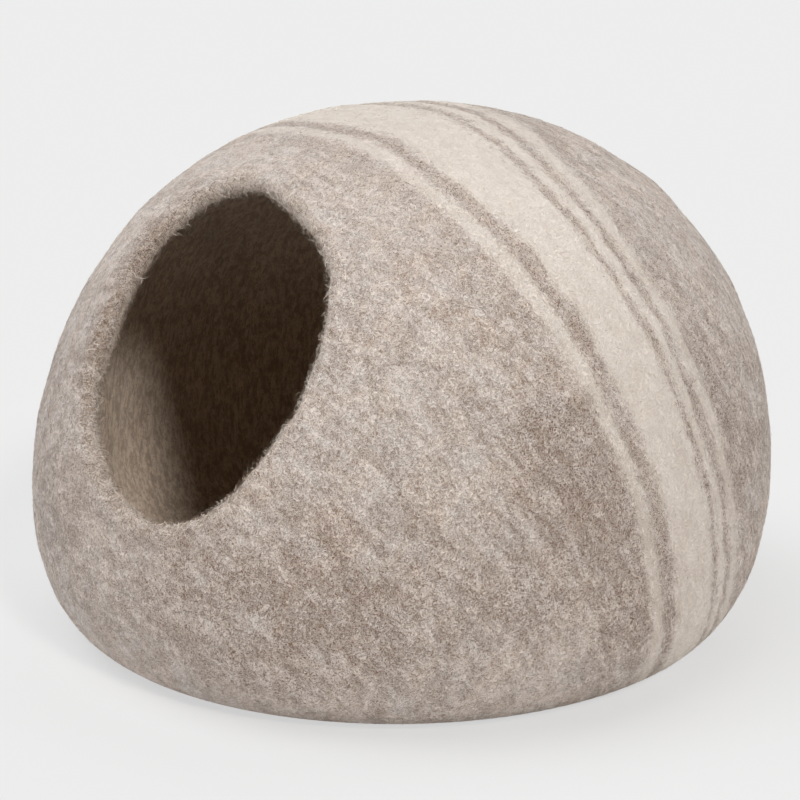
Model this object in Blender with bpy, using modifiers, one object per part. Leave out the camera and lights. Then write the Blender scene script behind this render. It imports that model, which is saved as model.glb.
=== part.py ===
"""Felt cat cave: a one-piece, seamless dome of thick wool felt with one oval doorway.

Run with: blender --background --python part.py

Units are metres and +Z is up. The cave stands on z = 0, centred on the origin, and its
doorway faces -Y, tipped up. The shell is a round body whose profile is two superellipse
quarters, a tall one from the belly to the crown and a low one from the belly down to the
flat base. The doorway is set out on it as an oval cone of rays from a point inside.
"""

import math

import bmesh
import bpy
from mathutils import Vector

# Body
WIDTH = 0.440
HEIGHT = 0.312
BELLY_HEIGHT = 0.085
BASE_RADIUS = 0.172
CROWN_POWER = 2.15
HEM_POWER = 2.0
LEAN = 0.045  # sideways travel of the hand-formed dome for each metre of height
WALL = 0.012  # thickness of the felt

# Doorway, in angles seen from a point on the body's axis
DOOR_EYE = Vector((0.0, 0.0, 0.144))
DOOR_PITCH = math.radians(22)
DOOR_HALF_WIDTH = math.radians(23)
DOOR_HALF_HEIGHT = math.radians(30)
DOOR_TWIST = math.radians(8)
# The hand-cut rim strays from a true oval by these shares of its size
RIM_PEAR = 0.06  # three lobes: fuller on the right, flatter on the left
RIM_SLANT = 0.02  # four lobes: fuller at the top right and the bottom left
RIM_ROUNDING = 0.0055
RIM_ROUNDING_STEPS = 4

# Mesh
SPOKES = 60  # round the doorway
RINGS = 32  # from the doorway to the back of the body
HEM_START = math.radians(-15)  # elevation from the doorway's eye where the hem begins
HEM_CROWDING = 0.45  # ring spacing on the hem, as a share of even spacing
HEM_RELEASE_POWER = 6  # how late towards the middle of the flat base the rings spread again
RAY_REACH = 0.5
RAY_HALVINGS = 40
FLOOR_SNAP = 1e-5

FELT_COLOUR = (0.56, 0.49, 0.43, 1.0)
FELT_ROUGHNESS = 0.95


def clear_scene():
    """Remove whatever the new file came with."""
    for obj in list(bpy.data.objects):
        bpy.data.objects.remove(obj, do_unlink=True)


def make_felt():
    """Return the felt's material."""
    felt = bpy.data.materials.new("felt")
    felt.use_nodes = True
    shader = felt.node_tree.nodes["Principled BSDF"]
    shader.inputs["Base Color"].default_value = FELT_COLOUR
    shader.inputs["Roughness"].default_value = FELT_ROUGHNESS
    shader.inputs["Metallic"].default_value = 0.0
    return felt


def body_side(point):
    """Tell where a point lies: below 0 inside the leaning body, above 0 outside it."""
    radius = WIDTH / 2
    reach = math.hypot(point.x - LEAN * point.z, point.y)
    if point.z > BELLY_HEIGHT:
        rise = (point.z - BELLY_HEIGHT) / (HEIGHT - BELLY_HEIGHT)
        return (reach / radius) ** CROWN_POWER + rise ** CROWN_POWER - 1
    spread = max(reach - BASE_RADIUS, 0.0) / (radius - BASE_RADIUS)
    drop = (BELLY_HEIGHT - point.z) / BELLY_HEIGHT
    return spread ** HEM_POWER + drop ** HEM_POWER - 1


def on_body(direction):
    """Return the point where a ray from the doorway's eye leaves the body."""
    near = 0.0
    far = RAY_REACH
    for _ in range(RAY_HALVINGS):
        middle = (near + far) / 2
        if body_side(DOOR_EYE + direction * middle) < 0:
            near = middle
        else:
            far = middle
    point = DOOR_EYE + direction * near
    if point.z < FLOOR_SNAP:
        point.z = 0.0
    return point


def crowd_hem(direction):
    """Return a downward ray turned up towards the hem, so that more rings land on its curve."""
    elevation = math.asin(max(-1.0, min(1.0, direction.z)))
    if elevation > HEM_START:
        return direction
    span = -math.pi / 2 - HEM_START
    share = (elevation - HEM_START) / span
    release = (1 - HEM_CROWDING) * share ** HEM_RELEASE_POWER
    crowded = HEM_START + span * (HEM_CROWDING * share + release)
    bearing = math.atan2(direction.y, direction.x)
    level = math.cos(crowded)
    return Vector((level * math.cos(bearing), level * math.sin(bearing), math.sin(crowded)))


def door_axes():
    """Return the doorway's outward axis and its across and up directions, twist included."""
    outward = Vector((0.0, -math.cos(DOOR_PITCH), math.sin(DOOR_PITCH)))
    level = Vector((1.0, 0.0, 0.0))
    upright = outward.cross(level)
    across = math.cos(DOOR_TWIST) * level + math.sin(DOOR_TWIST) * upright
    up = math.cos(DOOR_TWIST) * upright - math.sin(DOOR_TWIST) * level
    return outward, across, up


def rim_angles(turn):
    """Return the rim's angle off the doorway's axis, and its bearing, at a turn round the rim."""
    stray = 1 + RIM_PEAR * math.cos(3 * turn) + RIM_SLANT * math.sin(4 * turn)
    width = stray * math.tan(DOOR_HALF_WIDTH) * math.cos(turn)
    height = stray * math.tan(DOOR_HALF_HEIGHT) * math.sin(turn)
    return math.atan(math.hypot(width, height)), math.atan2(height, width)


def shell_surface():
    """Return the shell's outer face as a mesh, open at the doorway."""
    sheet = bmesh.new()
    bmesh.ops.create_uvsphere(sheet, u_segments=SPOKES, v_segments=RINGS, radius=1.0)
    door_pole = max(sheet.verts, key=lambda vert: vert.co.z)
    bmesh.ops.delete(sheet, geom=[door_pole], context="VERTS")

    outward, across, up = door_axes()
    first_ring = math.pi / RINGS
    for vert in sheet.verts:
        ring = math.atan2(math.hypot(vert.co.x, vert.co.y), vert.co.z)
        share = (ring - first_ring) / (math.pi - first_ring)
        rim_angle, bearing = rim_angles(math.atan2(vert.co.y, vert.co.x))
        angle = rim_angle + share * (math.pi - rim_angle)
        sideways = math.cos(bearing) * across + math.sin(bearing) * up
        ray = math.cos(angle) * outward + math.sin(angle) * sideways
        vert.co = on_body(crowd_hem(ray))
    middle = (max(vert.co.x for vert in sheet.verts) + min(vert.co.x for vert in sheet.verts)) / 2
    for vert in sheet.verts:
        vert.co.x -= middle

    mesh = bpy.data.meshes.new("felt_shell")
    sheet.to_mesh(mesh)
    sheet.free()
    return mesh


def make_shell(collection):
    """Add the felt shell: the surface given its thickness inwards and a rounded rim."""
    mesh = shell_surface()
    mesh.materials.append(make_felt())
    mesh.shade_smooth()
    shell = bpy.data.objects.new("felt_shell", mesh)
    collection.objects.link(shell)

    thickness = shell.modifiers.new("felt thickness", "SOLIDIFY")
    thickness.thickness = WALL
    thickness.offset = -1.0
    thickness.use_even_offset = True

    rounding = shell.modifiers.new("rounded rim", "BEVEL")
    rounding.width = RIM_ROUNDING
    rounding.segments = RIM_ROUNDING_STEPS
    rounding.limit_method = "ANGLE"
    rounding.angle_limit = math.radians(50)
    return shell


clear_scene()
cave = bpy.data.collections.new("felt cat cave")
bpy.context.scene.collection.children.link(cave)
make_shell(cave)
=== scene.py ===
"""Looks of the felt cat cave: one seamless wall of heathered wool felt, ringed with cream bands.

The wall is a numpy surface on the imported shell's own form: an outside, a full-round doorway rim
and an inside, on one closed grid. Loose wool lies and stands on it as joined ribbons of fibre.
Lengths are metres, angles are radians and +Z is up, except where a name ends in _mm or _deg.
"""

from __future__ import annotations

import logging
import math
from dataclasses import dataclass, field
from enum import Enum
from functools import cached_property

import bpy
import numpy as np
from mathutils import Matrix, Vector
from numpy.typing import NDArray


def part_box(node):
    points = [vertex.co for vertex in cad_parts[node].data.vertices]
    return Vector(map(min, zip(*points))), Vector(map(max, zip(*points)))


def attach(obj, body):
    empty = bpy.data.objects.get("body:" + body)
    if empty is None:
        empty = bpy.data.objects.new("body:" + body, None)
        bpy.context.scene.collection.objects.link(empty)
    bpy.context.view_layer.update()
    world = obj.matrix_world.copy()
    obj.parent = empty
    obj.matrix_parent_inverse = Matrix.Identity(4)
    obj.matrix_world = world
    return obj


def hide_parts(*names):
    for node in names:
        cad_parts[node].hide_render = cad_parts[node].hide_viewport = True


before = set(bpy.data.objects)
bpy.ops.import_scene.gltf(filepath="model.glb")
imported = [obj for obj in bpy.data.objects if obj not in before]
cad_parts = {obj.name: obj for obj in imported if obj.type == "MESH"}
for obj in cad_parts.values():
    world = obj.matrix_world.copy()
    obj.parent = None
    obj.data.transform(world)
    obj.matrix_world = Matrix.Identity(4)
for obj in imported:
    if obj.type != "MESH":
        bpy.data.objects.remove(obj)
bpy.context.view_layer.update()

Array = NDArray[np.float64]
Colour = tuple[float, float, float]
Socket = bpy.types.NodeSocket
Tree = bpy.types.NodeTree
Feed = Socket | float | tuple[float, ...]
LOG = logging.getLogger("felt_cave")
SHELL_NODE = "felt_shell"
BODY = "root"
TURN = 2 * math.pi
MM = 0.001
TINY = 1e-12
LAST_ROW_GAP = 0.001
BAKE_MAP = "OFBake"


# ---------------------------------------------------------------- shared sums


def smooth_step(values: Array, low: float, high: float) -> Array:
    """Return 0 below low, 1 above high, and the cubic 3t^2 - 2t^3 between them."""
    share = np.clip((values - low) / (high - low), 0.0, 1.0)
    return share * share * (3 - 2 * share)


def unit(vectors: Array) -> Array:
    """Return the vectors at length one."""
    return vectors / np.maximum(np.linalg.norm(vectors, axis=-1, keepdims=True), TINY)


def fill_mesh(
    name: str, points: Array, corners: NDArray[np.int64], sides: Array
) -> bpy.types.Mesh:
    """Return a mesh made from whole arrays.

    Args:
        name: Name of the mesh.
        points: One row for each vertex.
        corners: Vertex numbers of all the faces, one face after another.
        sides: How many corners each face has.

    Returns:
        The new mesh, smooth shaded.
    """
    mesh = bpy.data.meshes.new(name)
    mesh.vertices.add(len(points))
    mesh.vertices.foreach_set("co", np.ascontiguousarray(points, np.float32).ravel())
    mesh.loops.add(len(corners))
    mesh.loops.foreach_set("vertex_index", np.ascontiguousarray(corners, np.int32))
    starts = np.concatenate([[0], np.cumsum(sides)[:-1]])
    mesh.polygons.add(len(sides))
    mesh.polygons.foreach_set("loop_start", starts.astype(np.int32))
    mesh.update(calc_edges=True)
    mesh.shade_smooth()
    return mesh


def give_values(mesh: bpy.types.Mesh, name: str, values: Array) -> None:
    """Store one number for each vertex as a named attribute."""
    layer = mesh.attributes.new(name, "FLOAT", "POINT")
    layer.data.foreach_set("value", np.ascontiguousarray(values, np.float32).ravel())


def give_map(mesh: bpy.types.Mesh, places: Array) -> None:
    """Store a flat map with one place for each face corner."""
    layer = mesh.uv_layers.new(name=BAKE_MAP)
    layer.uv.foreach_set("vector", np.ascontiguousarray(places, np.float32).ravel())


def put_in(name: str, data: bpy.types.ID) -> bpy.types.Object:
    """Return a new object at the origin with its data, linked into the scene.

    Args:
        name: Name of the object.
        data: Its mesh, light or camera.

    Returns:
        The object.
    """
    item = bpy.data.objects.new(name, data)
    bpy.context.scene.collection.objects.link(item)
    return item


def add_piece(name: str, mesh: bpy.types.Mesh) -> bpy.types.Object:
    """Return a new object at the origin that rides on the body.

    Args:
        name: Name of the piece.
        mesh: Its mesh.

    Returns:
        The object.
    """
    piece = put_in(name, mesh)
    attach(piece, BODY)
    LOG.info("%s: %d vertices, %d faces", name, len(mesh.vertices), len(mesh.polygons))
    return piece


# ---------------------------------------------------------------- form of the cave


@dataclass(frozen=True)
class CaveForm:
    """The cave's body and doorway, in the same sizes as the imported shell.

    The outside ends a little short of the doorway, by the setback, because the full-round rim
    bulges into it. The oval is stretched by shares that turn with three and four lobes.

    The upright profile is two superellipse quarters, one from the belly up to the crown and
    one from the belly down to the flat base. The upright body then leans sideways with height.
    """

    width: float
    height: float
    belly_height: float = 0.085
    base_radius: float = 0.172
    crown_power: float = 2.15
    hem_power: float = 2.0
    lean: float = 0.045
    wall: float = 0.012
    eye_height: float = 0.144
    door_pitch: float = math.radians(22)
    door_half_width: float = math.radians(23)
    door_half_height: float = math.radians(30)
    door_twist: float = math.radians(8)
    rim_setback: float = math.radians(1.5)
    pear: float = 0.06
    slant: float = 0.02
    ray_reach: float = 0.5
    ray_halvings: int = 34
    floor_snap: float = 1e-5
    axis_gap: float = 1e-9
    extent_steps: int = 4000

    @classmethod
    def from_frame(cls) -> CaveForm:
        """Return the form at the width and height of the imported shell."""
        lowest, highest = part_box(SHELL_NODE)
        return cls(width=highest.y - lowest.y, height=highest.z - lowest.z)

    @property
    def eye(self) -> Array:
        """The doorway's eye, the point that its rays leave from."""
        return np.array([-self.middle, 0.0, self.eye_height])

    @property
    def radius(self) -> float:
        """The upright body's radius at the belly."""
        return self.width / 2

    @property
    def crown_rise(self) -> float:
        """Height of the crown over the belly."""
        return self.height - self.belly_height

    @property
    def hem_depth(self) -> float:
        """How far the belly reaches out past the flat base."""
        return self.radius - self.base_radius

    def radius_at(self, heights: Array) -> Array:
        """Return the upright body's radius at each height, from the two superellipses.

        Args:
            heights: Heights over the floor, up to the crown.

        Returns:
            One radius for each height.
        """
        rise = np.clip((heights - self.belly_height) / self.crown_rise, 0, 1)
        drop = np.clip((self.belly_height - heights) / self.belly_height, 0, 1)
        crown = self.radius * (1 - rise**self.crown_power) ** (1 / self.crown_power)
        hem = self.hem_depth * (1 - drop**self.hem_power) ** (1 / self.hem_power)
        return np.where(heights > self.belly_height, crown, self.base_radius + hem)

    @cached_property
    def middle(self) -> float:
        """Middle of the leaning body's extent in x, which the frame puts at zero.

        Returns:
            The middle's x before the move.
        """
        heights = np.linspace(0, self.height, self.extent_steps)
        radii = self.radius_at(heights)
        return float(np.max(radii + self.lean * heights) + np.min(self.lean * heights - radii)) / 2

    def upright_x(self, points: Array) -> Array:
        """Return the points' x with the lean taken off, measured from the body's axis."""
        return points[..., 0] - self.lean * points[..., 2] + self.middle

    def profile(self, points: Array) -> tuple[Array, Array, Array, Array]:
        """Return where points lie on the upright profile.

        Args:
            points: Places in the frame.

        Returns:
            Their reach from the body's axis, and their shares of the way from the belly up to
            the crown, from the belly down to the floor, and from the base's edge out to the
            belly's.
        """
        reach = np.maximum(np.hypot(self.upright_x(points), points[..., 1]), self.axis_gap)
        above = points[..., 2] - self.belly_height
        rise = np.clip(above / self.crown_rise, 0, None)
        drop = np.clip(-above / self.belly_height, 0, None)
        return reach, rise, drop, np.clip((reach - self.base_radius) / self.hem_depth, 0, None)

    def side_of(self, points: Array) -> Array:
        """Tell where points lie: below 0 inside the leaning body, above 0 outside it.

        Args:
            points: Places in the frame.

        Returns:
            One number for each point, 0 on the body itself.
        """
        reach, rise, drop, spread = self.profile(points)
        crown = (reach / self.radius) ** self.crown_power + rise**self.crown_power - 1
        hem = spread**self.hem_power + drop**self.hem_power - 1
        return np.where(points[..., 2] > self.belly_height, crown, hem)

    def normals(self, points: Array) -> Array:
        """Return the outward unit normals at points on the leaning body.

        They are the slope of the superellipse sum along the reach from the axis and along
        the height, less the part of the first that the lean takes from the second.

        Args:
            points: Places on the body.

        Returns:
            One unit vector for each point.
        """
        reach, rise, drop, spread = self.profile(points)
        crown, hem = self.crown_power, self.hem_power
        crown_out = crown * (reach / self.radius) ** (crown - 1) / self.radius
        crown_up = crown * rise ** (crown - 1) / self.crown_rise
        hem_out = hem * spread ** (hem - 1) / self.hem_depth
        hem_up = -hem * drop ** (hem - 1) / self.belly_height
        above = points[..., 2] > self.belly_height
        out = np.where(above, crown_out, hem_out)
        up = np.where(above, crown_up, hem_up)
        along_x = out * self.upright_x(points) / reach
        along_y = out * points[..., 1] / reach
        return unit(np.stack([along_x, along_y, up - self.lean * along_x], axis=-1))

    def spot(self, bearing_deg: float, height: float) -> Array:
        """Return the point of the outside at a bearing from -Y towards +X and a height.

        Args:
            bearing_deg: Bearing round the body's axis.
            height: Height over the floor.

        Returns:
            The point in the frame.
        """
        bearing = math.radians(bearing_deg)
        radius = float(self.radius_at(np.array(height)))
        x = radius * math.sin(bearing) + self.lean * height - self.middle
        return np.array([x, -radius * math.cos(bearing), height])

    @cached_property
    def door_axes(self) -> tuple[Array, Array, Array]:
        """The doorway's outward axis and its across and up directions, twist included.

        Returns:
            The three unit vectors.
        """
        outward = np.array([0.0, -math.cos(self.door_pitch), math.sin(self.door_pitch)])
        level = np.array([1.0, 0.0, 0.0])
        upright = np.cross(outward, level)
        twist_cos, twist_sin = math.cos(self.door_twist), math.sin(self.door_twist)
        across = twist_cos * level + twist_sin * upright
        return outward, across, twist_cos * upright - twist_sin * level

    def rim_angles(self, turns: Array) -> tuple[Array, Array]:
        """Return the rim's angle off the doorway's axis, and its bearing, at turns round it.

        Args:
            turns: Angles round the doorway, 0 on the across direction.

        Returns:
            The angles off the axis and the bearings, one of each for each turn.
        """
        stray = 1 + self.pear * np.cos(3 * turns) + self.slant * np.sin(4 * turns)
        wide = stray * math.tan(self.door_half_width + self.rim_setback) * np.cos(turns)
        high = stray * math.tan(self.door_half_height + self.rim_setback) * np.sin(turns)
        return np.arctan(np.hypot(wide, high)), np.arctan2(high, wide)

    def surface(self, turns: Array, shares: Array) -> Array:
        """Return points on the outside at turns round the doorway.

        A ray leaves the doorway's eye at the rim's angle plus a share of the way to the far
        pole, and halving finds where it leaves the body.

        Args:
            turns: Angles round the doorway.
            shares: 0 on the rim and 1 at the pole behind it, in the shape of turns.

        Returns:
            Points in the frame, on a further last axis.
        """
        rim, bearing = self.rim_angles(turns)
        angle = (rim + shares * (math.pi - rim))[..., None]
        outward, across, up = self.door_axes
        sideways = np.cos(bearing)[..., None] * across + np.sin(bearing)[..., None] * up
        rays = np.cos(angle) * outward + np.sin(angle) * sideways
        near = np.zeros(angle.shape)
        far = np.full(angle.shape, self.ray_reach)
        for _ in range(self.ray_halvings):
            middle = (near + far) / 2
            inside = self.side_of(self.eye + rays * middle)[..., None] < 0
            near = np.where(inside, middle, near)
            far = np.where(inside, far, middle)
        points = self.eye + rays * near
        points[..., 2] = np.where(points[..., 2] < self.floor_snap, 0.0, points[..., 2])
        return points


# ---------------------------------------------------------------- bands of cream wool


@dataclass(frozen=True)
class Strip:
    """One soft-edged strip across the bands, with its share of a wool."""

    first_mm: float
    last_mm: float
    soft_mm: float
    share: float

    def stops(self) -> list[tuple[float, float]]:
        """Return the places where the strip starts, is full, starts to end and is over.

        Returns:
            Each place across the bands in millimetres, with the share there.
        """
        return [
            (self.first_mm - self.soft_mm, 0.0),
            (self.first_mm + self.soft_mm, self.share),
            (self.last_mm - self.soft_mm, self.share),
            (self.last_mm + self.soft_mm, 0.0),
        ]

    def at(self, across: Array) -> Array:
        """Return the strip's share at places across the bands, eased between its stops.

        Args:
            across: Places across the bands, in metres.

        Returns:
            The share at each place.
        """
        starts, full, ends, over = (place * MM for place, _ in self.stops())
        rising, falling = smooth_step(across, starts, full), smooth_step(across, ends, over)
        return self.share * rising * (1 - falling)


@dataclass(frozen=True)
class Sway:
    """A stretch of the rings where the bands stray sideways, as a bell curve of the turn."""

    turn_deg: float
    spread_deg: float
    shift_mm: float

    def at(self, turns: Array) -> Array:
        """Return the shift at turns round the rings."""
        off = np.mod(np.degrees(turns) - self.turn_deg + 180, 360) - 180
        return self.shift_mm * MM * np.exp(-((off / self.spread_deg) ** 2))


@dataclass(frozen=True)
class Bands:
    """Rings of cream wool laid round the body, with dark lines of the ground between them.

    The rings circle an axis through the doorway's eye. A turn of 0 is at the top, and it
    grows towards the side right of the doorway. Strips are set out from the first edge of the
    wide cream, and near the top they fan out by a share of their width.
    """

    form: CaveForm
    bearing: float = math.radians(76)
    rise: float = math.radians(16)
    fan: float = 0.52
    fan_spread: float = math.radians(43)
    sways: tuple[Sway, ...] = (
        Sway(turn_deg=90, spread_deg=18, shift_mm=2.5),
        Sway(turn_deg=200, spread_deg=35, shift_mm=-3),
        Sway(turn_deg=300, spread_deg=30, shift_mm=3),
    )
    creams: tuple[Strip, ...] = (
        Strip(-20, -11, 3, 0.85),
        Strip(0, 33, 3, 1.00),
        Strip(38, 45, 2, 0.92),
        Strip(51, 60, 3, 0.82),
    )
    darks: tuple[Strip, ...] = (
        Strip(-34, -22, 4, 0.35),
        Strip(-10, -2, 3.5, 0.80),
        Strip(33, 37.5, 2.2, 0.85),
        Strip(45.5, 50, 2.2, 0.80),
        Strip(63, 74, 6, 0.45),
    )
    groove_mm: float = 0.3
    puff_mm: float = 0.35

    @cached_property
    def axes(self) -> tuple[Array, Array, Array]:
        """The rings' axis, the direction of turn 0 and the direction of a quarter turn.

        Returns:
            The three unit vectors.
        """
        level, lift = math.cos(self.rise), math.sin(self.rise)
        bearing_cos, bearing_sin = math.cos(self.bearing), math.sin(self.bearing)
        axis = np.array([level * bearing_cos, level * bearing_sin, lift])
        top = np.array([-lift * bearing_cos, -lift * bearing_sin, level])
        return axis, top, np.array([bearing_sin, -bearing_cos, 0.0])

    def across(self, points: Array) -> Array:
        """Return how far across the bands points lie, in metres.

        It is the distance along the rings' axis less the sways. Past the first edge of the
        wide cream it is divided by one plus the fan, which fades with the cube of the turn.

        Args:
            points: Places on or near the body.

        Returns:
            One distance for each point, 0 at the first edge of the wide cream.
        """
        axis, top, quarter = self.axes
        from_eye = points - self.form.eye
        turns = np.arctan2(from_eye @ quarter, from_eye @ top)
        along = from_eye @ axis - sum(sway.at(turns) for sway in self.sways)
        fan = 1 + self.fan * np.exp(-np.abs(turns / self.fan_spread) ** 3)
        return np.where(along > 0, along / fan, along)

    def cream(self, across: Array) -> Array:
        """Return the share of cream wool at places across the bands."""
        return sum(strip.at(across) for strip in self.creams)

    def dark(self, across: Array) -> Array:
        """Return the share of dark wool at places across the bands."""
        return sum(strip.at(across) for strip in self.darks)

    def relief(self, across: Array) -> Array:
        """Return how far the creams stand proud and the dark lines sink, in metres."""
        lines = sum(strip.at(across) for strip in self.darks[1:-1])
        return (self.puff_mm * self.cream(across) - self.groove_mm * lines) * MM


# ---------------------------------------------------------------- the felt wall


@dataclass(frozen=True)
class Lump:
    """One size of unevenness in the hand-felted wall, as a sum of sine waves.

    Each wave has its own direction, phase and length near the given one. The sum is scaled by
    the root of two over their number, so that the height is about its spread.
    """

    wavelength: float
    height: float
    waves: int
    seed: int
    length_range: tuple[float, float] = (0.7, 1.4)

    def at(self, points: Array) -> Array:
        """Return the unevenness at points, in metres.

        Args:
            points: Places in the frame.

        Returns:
            One height for each point.
        """
        rng = np.random.default_rng(self.seed)
        directions = unit(rng.normal(size=(self.waves, 3)))
        lengths = self.wavelength * rng.uniform(*self.length_range, self.waves)
        phases = rng.uniform(0, TURN, self.waves)
        total = np.zeros(points.shape[:-1])
        for direction, length, phase in zip(directions, lengths, phases):
            total += np.sin(points @ direction * (TURN / length) + phase)
        return self.height * (total * math.sqrt(2 / self.waves))


@dataclass(frozen=True)
class Spot:
    """One place on the outside, by its bearing and height, that fades as a bell curve."""

    bearing_deg: float
    height: float
    radius: float

    def bell(self, form: CaveForm, points: Array) -> Array:
        """Return the bell curve of the points' distance from the place, 1 at the place itself."""
        away = np.linalg.norm(points - form.spot(self.bearing_deg, self.height), axis=-1)
        return np.exp(-((away / self.radius) ** 2))


@dataclass(frozen=True)
class Dent(Spot):
    """A small pressed-in place."""

    depth: float


@dataclass(frozen=True)
class WoolAndShadePatch(Spot):
    """A place with its own share of darker wool and painted shade, below 0 where the wool is
    paler.
    """

    share: float


@dataclass(frozen=True)
class RimShade:
    """A stretch of the rim with more dark wool and painted shade, as bell curves of the turn and
    the distance.
    """

    turn_deg: float
    spread_deg: float
    reach: float
    share: float

    def at(self, turns: Array, away: Array) -> Array:
        """Return the share of dark wool and painted shade at turns round the rim and distances
        from it.
        """
        off = (np.degrees(turns) - self.turn_deg) / self.spread_deg
        return self.share * np.exp(-(off**2) - (away / self.reach) ** 2)


@dataclass
class Wall:
    """Points and outward directions over the wall's grid, row by row from pole to pole.

    The rows run from the outside's pole behind the body to the rim, round it, and back to the
    inside's pole. The columns run round the doorway, and the last meets the first.
    """

    points: Array
    directions: Array
    inside: Array
    rim: Array
    across: Array
    # Share of darker wool and painted shade, from the patches and the rim's top-left face.
    dark: Array

    def at(self, values: Array, rows: Array, columns: Array) -> Array:
        """Return grid values between the rows and columns, by bilinear interpolation.

        Args:
            values: Numbers or vectors for each row and column.
            rows: Rows, with fractions.
            columns: Columns, with fractions, past the last one where they go round.

        Returns:
            One value for each pair of row and column.
        """
        count_rows, count_columns = values.shape[:2]
        rows = np.clip(rows, 0, count_rows - 1 - LAST_ROW_GAP)
        row, column = np.floor(rows).astype(int), np.floor(columns).astype(int)
        down, over = rows - row, columns - column
        if values.ndim == 3:
            down, over = down[..., None], over[..., None]
        first, second = column % count_columns, (column + 1) % count_columns
        near = values[row, first] * (1 - over) + values[row, second] * over
        far = values[row + 1, first] * (1 - over) + values[row + 1, second] * over
        return near * (1 - down) + far * down


@dataclass(frozen=True)
class Disc:
    """A disc on the flat map, by its middle's place on the map's diagonal and its radius."""

    middle: float
    radius: float


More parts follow.
